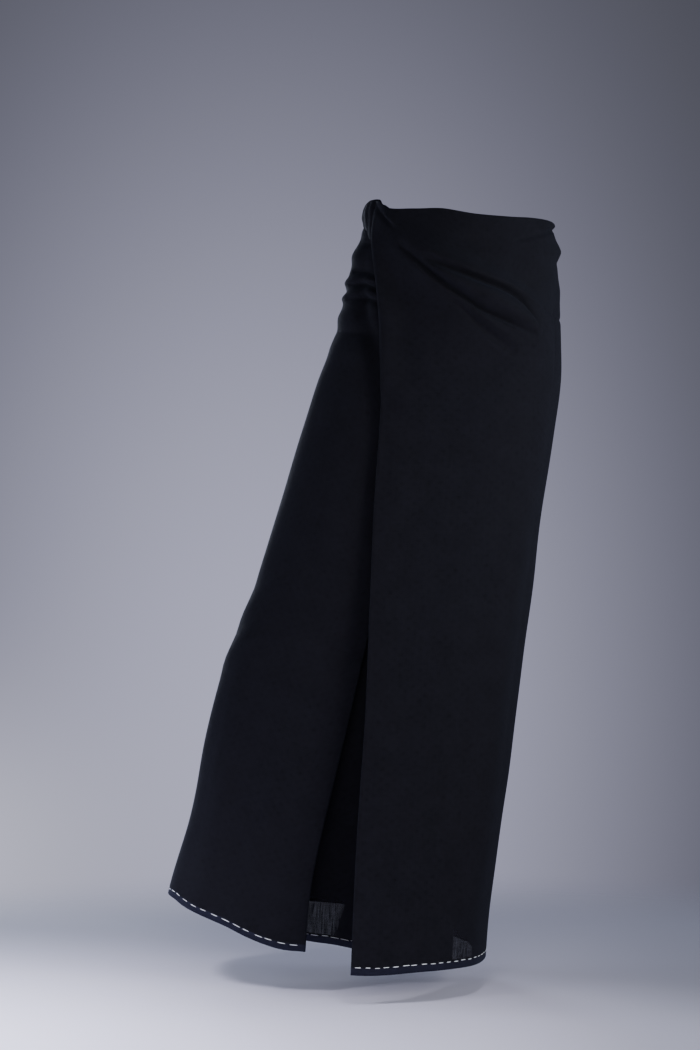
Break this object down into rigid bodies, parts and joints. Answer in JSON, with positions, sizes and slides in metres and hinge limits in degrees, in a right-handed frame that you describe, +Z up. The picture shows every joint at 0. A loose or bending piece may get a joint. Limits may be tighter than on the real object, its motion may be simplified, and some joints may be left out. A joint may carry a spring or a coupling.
{
  "type": "longyi sarong",
  "caption": "Ankle-length tube sarong of dark cotton, worn hollow, with both sides folded over at the front and tucked at the right hip, and a stitched hem.",
  "frame": {"origin": "middle of the waist, where the wearer holds the cloth", "axes": "+Z up along the worn garment, -Y is the garment's front, +X is the wearer's left"},
  "size_m": [0.5428, 0.3041, 1.0363],
  "materials": {
    "navy_cotton": "matt woven cotton",
    "white_thread": "matt cotton thread"
  },
  "bodies": {
    "root": {"left_fold_outer": "navy_cotton", "left_fold_return": "navy_cotton", "right_fold_outer": "navy_cotton", "right_fold_return": "navy_cotton", "front_under_panel": "navy_cotton", "back_panel": "navy_cotton", "hem_turn_left_fold": "navy_cotton", "hem_turn_right_fold": "navy_cotton", "hem_turn_under": "navy_cotton", "hem_turn_back": "navy_cotton", "waist_tuck": "navy_cotton"}
  },
  "joints": []
}
